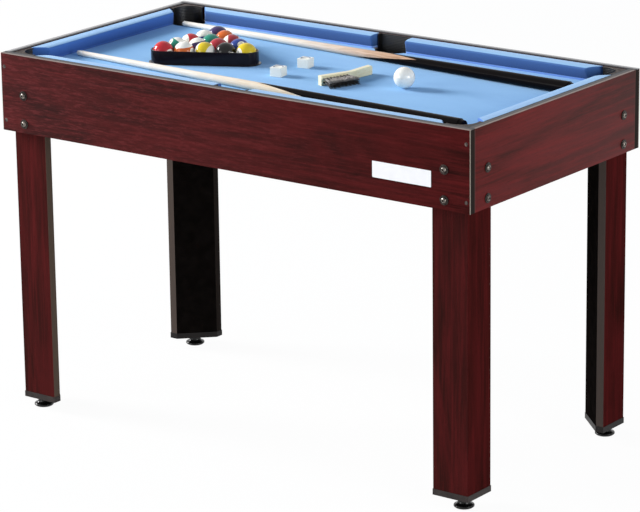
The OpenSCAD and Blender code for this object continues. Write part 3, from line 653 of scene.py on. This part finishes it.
def cue_lacquer(which, first, last, side, warm_tones):
    """Pale wood that ends in two points on black lacquer, and is warmer towards them."""
    warm_start, warm_full = last - 330 * MM, last - 80 * MM
    whole_turns = 4 * math.pi
    tip, end = cue_ends(which)
    heading = math.atan2(end.y - tip.y, end.x - tip.x)
    s = Shader(f"{which}_cue_lacquer")
    moved = s.stretch([1, 1, 1], move=(-tip.x, -tip.y, 0))
    from_tip, left, height = s.axes(s.stretch([1, 1, 1], vector=moved, turn=(0, 0, -heading)))
    slope = (end.z - tip.z) / (end - tip).length
    axis_z = s.math("ADD", s.math("MULTIPLY", from_tip, slope), tip.z)
    angle = s.math("ARCTAN2", s.math("SUBTRACT", height, axis_z), left)
    past_side = s.math("ADD", angle, whole_turns - math.radians(side))
    fold = s.math("PINGPONG", past_side, math.pi / 2)
    border = s.between(fold, 0, math.pi / 2, first, last)
    grain = s.noise(s.stretch([9, 420, 420]), detail=5, distortion=0.3)
    shaft = s.mix(s.between(grain, 0.35, 0.75), rgb("#faf2e6"), rgb("#efe0cb"))
    warm = s.mix(s.between(grain, 0.35, 0.75), *[rgb(tone) for tone in warm_tones])
    wood = s.mix(s.between(from_tip, warm_start, warm_full), shaft, warm)
    s.surface(Base_Color=s.mix(s.math("LESS_THAN", from_tip, border), rgb("#0f0b0b"), wood))
    s.surface(Roughness=s.between(grain, 0.2, 0.8, 0.14, 0.22), Specular_IOR_Level=0.04)
    s.bump(grain, 0.04, 0.05 * MM)
    return s.material


# Chalk, rack and brush

# The brush's heading in degrees, from x towards y
BRUSH_TURN = 71


def worn_ring(s, chalk):
    """Where a chalk's top is painted dark as the shade in its dish: a thin ring round its middle.
    """
    inner_edge = (5.5 * MM, 7.5 * MM)
    outer_edge = (9.0 * MM, 9.6 * MM)
    skin = 0.5 * MM
    centre, top = middle(chalk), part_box(chalk)[1].z
    x, y, z = s.axes(s.coords())
    radius = s.hypot(s.math("SUBTRACT", x, centre.x), s.math("SUBTRACT", y, centre.y))
    ring = s.math("MULTIPLY", s.between(radius, *inner_edge), s.between(radius, *outer_edge, 1, 0))
    return s.math("MULTIPLY", ring, s.math("GREATER_THAN", z, top - skin))


def dress_chalk():
    s = Shader("chalk")
    dust = s.noise(s.coords(), scale=700, detail=6)
    colour = s.mix(s.between(dust, 0.35, 0.75), rgb("#fffbee"), rgb("#f9f3e4"))
    # The ring on both chalks' tops is painted shade.
    worn = s.math("MAXIMUM", worn_ring(s, "left_chalk"), worn_ring(s, "right_chalk"))
    s.surface(Base_Color=s.mix(worn, colour, rgb("#5f7694")))
    s.surface(Roughness=s.between(dust, 0.2, 0.8, 0.8, 0.95))
    s.bump(dust, 0.3, 0.2 * MM)
    dress(s.material, "left_chalk", "right_chalk", edge=0.8 * MM)


def brush_wood():
    """Fine-grained pale wood, its grain along the brush."""
    s = Shader("brush_wood")
    turned = s.stretch([1, 1, 1], turn=(0, 0, -math.radians(BRUSH_TURN)))
    grain = s.noise(s.stretch([9, 420, 420], vector=turned), detail=5, distortion=0.4)
    s.surface(Base_Color=s.mix(s.between(grain, 0.35, 0.75), rgb("#fdf4cf"), rgb("#f1e0ab")))
    s.surface(Roughness=s.between(grain, 0.2, 0.8, 0.4, 0.52))
    s.surface(Coat_Weight=0.2, Coat_Roughness=0.12)
    s.bump(grain, 0.06, 0.1 * MM)
    return s.material


class BrushHead:
    """The face that the bristles stand on: its directions, and the room that they have."""

    def __init__(self):
        root_depth, start_margin, stop_margin = 2 * MM, 5 * MM, 3 * MM
        turn = math.radians(BRUSH_TURN)
        self.length_way = Vector((math.cos(turn), math.sin(turn), 0))
        self.out_way = Vector((math.sin(turn), -math.cos(turn), 0))
        body = [v.co for v in nodes["brush_body"].data.vertices]
        bristles = [v.co for v in nodes["brush_bristles"].data.vertices]
        self.floor, self.ceiling = (corner.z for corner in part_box("brush_bristles"))
        self.root = max(c.dot(self.out_way) for c in body)
        self.reach = max(c.dot(self.out_way) for c in bristles) - self.root
        foot = [c.dot(self.length_way) for c in bristles
                if c.dot(self.out_way) < self.root + root_depth]
        self.start = min(foot) + start_margin
        self.stop = max(foot) - stop_margin

    def point(self, along_head, outward, up):
        flat = self.length_way * along_head + self.out_way * (self.root + outward)
        return flat + Vector((0, 0, up))


def make_bristles():
    """Fuller bristles than the CAD tufts: each strand droops and leans a little."""
    strands_per_tuft = 90
    tufts, rows = 8, 2
    most_lean = 4 * MM
    first_height, row_step = 0.31, 0.38
    rng = random.Random(11)
    head = BrushHead()
    bm = bmesh.new()
    for row in range(rows):
        height = head.floor + (head.ceiling - head.floor) * (first_height + row_step * row)
        for tuft in range(tufts):
            share = tuft / (tufts - 1)
            place = head.start + (head.stop - head.start) * share
            for _ in range(strands_per_tuft):
                add_strand(bm, rng, head, place, height, (2 * share - 1) * most_lean)
    piece = from_bmesh("full_bristles", bm)
    finish_with(piece, bristle_fibre(head.ceiling))
    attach(piece, "brush")
    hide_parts("brush_bristles")


def add_strand(bm, rng, head, place, height, lean):
    """One bent bristle of three sides, from the head's face outwards."""
    tuft_radius, usual_splay, droop = 1.5 * MM, 2.2 * MM, 2.5 * MM
    length_shares, splay_shares = (0.9, 0.995), (0.6, 1.5)
    thick, taper = 0.22 * MM, 0.4
    steps, sides = 5, 3
    angle = rng.uniform(0, 2 * math.pi)
    spread = math.sqrt(rng.random())
    length = head.reach * rng.uniform(*length_shares)
    splay = usual_splay * rng.uniform(*splay_shares)
    rings = []
    for i in range(steps + 1):
        t = i / steps
        off_centre = spread * (tuft_radius + splay * t * t)
        along_head = place + off_centre * math.cos(angle) + lean * t * t
        up = height + off_centre * math.sin(angle) - droop * t * t
        up = min(max(up, head.floor + thick), head.ceiling - thick)
        centre = head.point(along_head, length * t, up)
        width = thick * (1 - taper * t)
        ring = []
        for k in range(sides):
            a = 2 * math.pi * k / sides
            offset = head.length_way * math.cos(a) + Vector((0, 0, math.sin(a)))
            ring.append(bm.verts.new(centre + offset * width))
        rings.append(ring)
    for first, second in zip(rings, rings[1:]):
        for k in range(sides):
            after = (k + 1) % sides
            bm.faces.new((first[k], first[after], second[after], second[k]))
    bm.faces.new(rings[0][::-1])
    bm.faces.new(rings[-1])


def bristle_fibre(top):
    """Near-black fibres, of which the uppermost are painted pale as light from above."""
    lit_start, lit_full = 9 * MM, 7 * MM
    s = Shader("bristle_fibre")
    tone = s.noise(s.stretch([900, 900, 300]), detail=2)
    dark = s.mix(s.between(tone, 0.35, 0.7), rgb("#0a0809"), rgb("#2c2624"))
    pale = s.mix(s.between(tone, 0.4, 0.6), rgb("#3a3330"), rgb("#d0c7bf"))
    # Painted light: the uppermost fibres are drawn pale where light from above falls on them.
    painted_light_mask = s.between(s.axes(s.coords())[2], top - lit_start, top - lit_full)
    s.surface(Base_Color=s.mix(painted_light_mask, dark, pale))
    s.surface(Roughness=s.between(tone, 0.2, 0.8, 0.3, 0.5))
    return s.material


def dress_set():
    make_racked_balls()
    make_cue_ball()
    dress_cue("front", first=450 * MM, last=583 * MM, side=105,
              warm_tones=("#f0dec4", "#e4c8a0"))
    dress_cue("rear", first=430 * MM, last=572 * MM, side=225,
              warm_tones=("#d8b294", "#a87c5c"))
    dress_chalk()
    gloss = plastic("rack_gloss", "#140f13", "#1c161c", 0.12, relief=0.04,
                    Specular_IOR_Level=0.15)
    dress(gloss, "rack", edge=0.5 * MM)
    dress(brush_wood(), "brush_body", edge=1.2 * MM)
    make_bristles()


# Bare plate on the front apron

def make_plate():
    """The blank white plate near the front apron's right end."""
    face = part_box("front_apron")[0].y
    left, right, low, high = 314 * MM, 434 * MM, 566.5 * MM, 595 * MM
    radius, thick, edge = 1.5 * MM, 0.35 * MM, 0.12 * MM
    corner_step = 15
    bm = bmesh.new()
    ring = []
    for cx, cz, start in ((right - radius, high - radius, 0), (left + radius, high - radius, 90),
                          (left + radius, low + radius, 180), (right - radius, low + radius, 270)):
        for step in range(0, 90 + corner_step, corner_step):
            a = math.radians(start + step)
            ring.append(bm.verts.new((cx + radius * math.cos(a), face, cz + radius * math.sin(a))))
    sheet = bm.faces.new(ring)
    raised = bmesh.ops.extrude_face_region(bm, geom=[sheet])["geom"]
    bmesh.ops.translate(bm, vec=(0, -thick, 0),
                        verts=[v for v in raised if isinstance(v, bmesh.types.BMVert)])
    bmesh.ops.recalc_face_normals(bm, faces=bm.faces)
    piece = from_bmesh("blank_plate", bm, smooth=False)
    bevel = piece.modifiers.new("bevel", "BEVEL")
    bevel.width = edge
    finish_with(piece, plastic("plate_white", "#f6f4f2", "#f1efed", 0.35, relief=0.03,
                               Specular_IOR_Level=0.2))
    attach(piece, "table_frame")


# Camera, light and floor

def make_camera():
    data = bpy.data.cameras.new("camera")
    data.sensor_width = SENSOR_WIDTH
    data.lens = FOCAL_PIXELS / PHOTO_WIDTH * SENSOR_WIDTH
    camera = bpy.data.objects.new("camera", data)
    bpy.context.scene.collection.objects.link(camera)
    azimuth, elevation, roll = (math.radians(angle) for angle in
                                (CAMERA_AZIMUTH, CAMERA_ELEVATION, CAMERA_ROLL))
    flat = math.cos(elevation)
    back = Vector((math.sin(azimuth) * flat, -math.cos(azimuth) * flat, math.sin(elevation)))
    right = (-back).cross(Vector((0, 0, 1))).normalized()
    up = right.cross(-back)
    turned_right = right * math.cos(roll) + up * math.sin(roll)
    turned_up = up * math.cos(roll) - right * math.sin(roll)
    turn = Matrix((turned_right, turned_up, back)).transposed()
    camera.matrix_world = Matrix.Translation(CAMERA_PLACE) @ turn.to_4x4()
    bpy.context.scene.camera = camera


def area_light(name, place, size, watts):
    """A round lamp that faces the table."""
    table_middle = Vector((0, 0, 0.6))
    data = bpy.data.lights.new(name, "AREA")
    data.shape = "DISK"
    data.size = size
    data.energy = watts
    light = bpy.data.objects.new(name, data)
    bpy.context.scene.collection.objects.link(light)
    light.location = place
    way = table_middle - Vector(place)
    light.rotation_euler = way.to_track_quat("-Z", "Y").to_euler()


def make_lights():
    area_light("key", (-5.8, -1.4, 2.9), size=2.6, watts=630)
    area_light("right_fill", (4.5, -0.5, 1.6), size=2.5, watts=97)
    area_light("front_fill", (-2.4, -4.7, 1.6), size=3.0, watts=88)


def seen_white(tree, shown, real, factor):
    """Mixes a white over what is real, for the camera and for reflections alone."""
    path = tree.nodes.new("ShaderNodeLightPath")
    seen = path.outputs["Is Camera Ray"]
    for ray in ("Is Glossy Ray", "Is Transmission Ray"):
        either = tree.nodes.new("ShaderNodeMath")
        either.operation = "MAXIMUM"
        tree.links.new(seen, either.inputs[0])
        tree.links.new(path.outputs[ray], either.inputs[1])
        seen = either.outputs[0]
    share = tree.nodes.new("ShaderNodeMath")
    share.operation = "MULTIPLY"
    tree.links.new(seen, share.inputs[0])
    share.inputs[1].default_value = factor
    mix = tree.nodes.new("ShaderNodeMixShader")
    tree.links.new(share.outputs[0], mix.inputs[0])
    tree.links.new(real, mix.inputs[1])
    tree.links.new(shown, mix.inputs[2])
    return mix.outputs[0]


def make_world():
    """Blue-tinted sky light, behind a white that the camera sees."""
    sky_colour, sky_strength = (0.72, 0.9, 1.2, 1), 0.26
    world = bpy.data.worlds.new("world")
    bpy.context.scene.world = world
    world.use_nodes = True
    tree = world.node_tree
    tree.nodes.clear()
    light = tree.nodes.new("ShaderNodeBackground")
    light.inputs["Color"].default_value = sky_colour
    light.inputs["Strength"].default_value = sky_strength
    white = tree.nodes.new("ShaderNodeBackground")
    white.inputs["Color"].default_value = (1, 1, 1, 1)
    out = tree.nodes.new("ShaderNodeOutputWorld")
    tree.links.new(seen_white(tree, white.outputs[0], light.outputs[0], 1.0), out.inputs[0])


def make_floor():
    """A grey floor that takes shadows and is seen almost as white as the sky."""
    floor_radius, seen_share = 40, 0.96
    bm = bmesh.new()
    bmesh.ops.create_circle(bm, cap_ends=True, segments=96, radius=floor_radius)
    floor = from_bmesh("floor", bm, smooth=False)
    s = Shader("floor")
    s.surface(Base_Color=(0.86, 0.86, 0.86, 1), Roughness=0.9, Specular_IOR_Level=0.1)
    white = s.tree.nodes.new("ShaderNodeEmission")
    shown = seen_white(s.tree, white.outputs[0], s.bsdf.outputs[0], seen_share)
    s.tree.links.new(shown, s.tree.nodes["Material Output"].inputs[0])
    finish_with(floor, s.material)


make_camera()
make_world()
make_lights()
make_floor()
dress_aprons()
dress_legs()
dress_fixings()
dress_tray()
dress_set()
make_plate()

bpy.context.scene.view_settings.view_transform = "Standard"
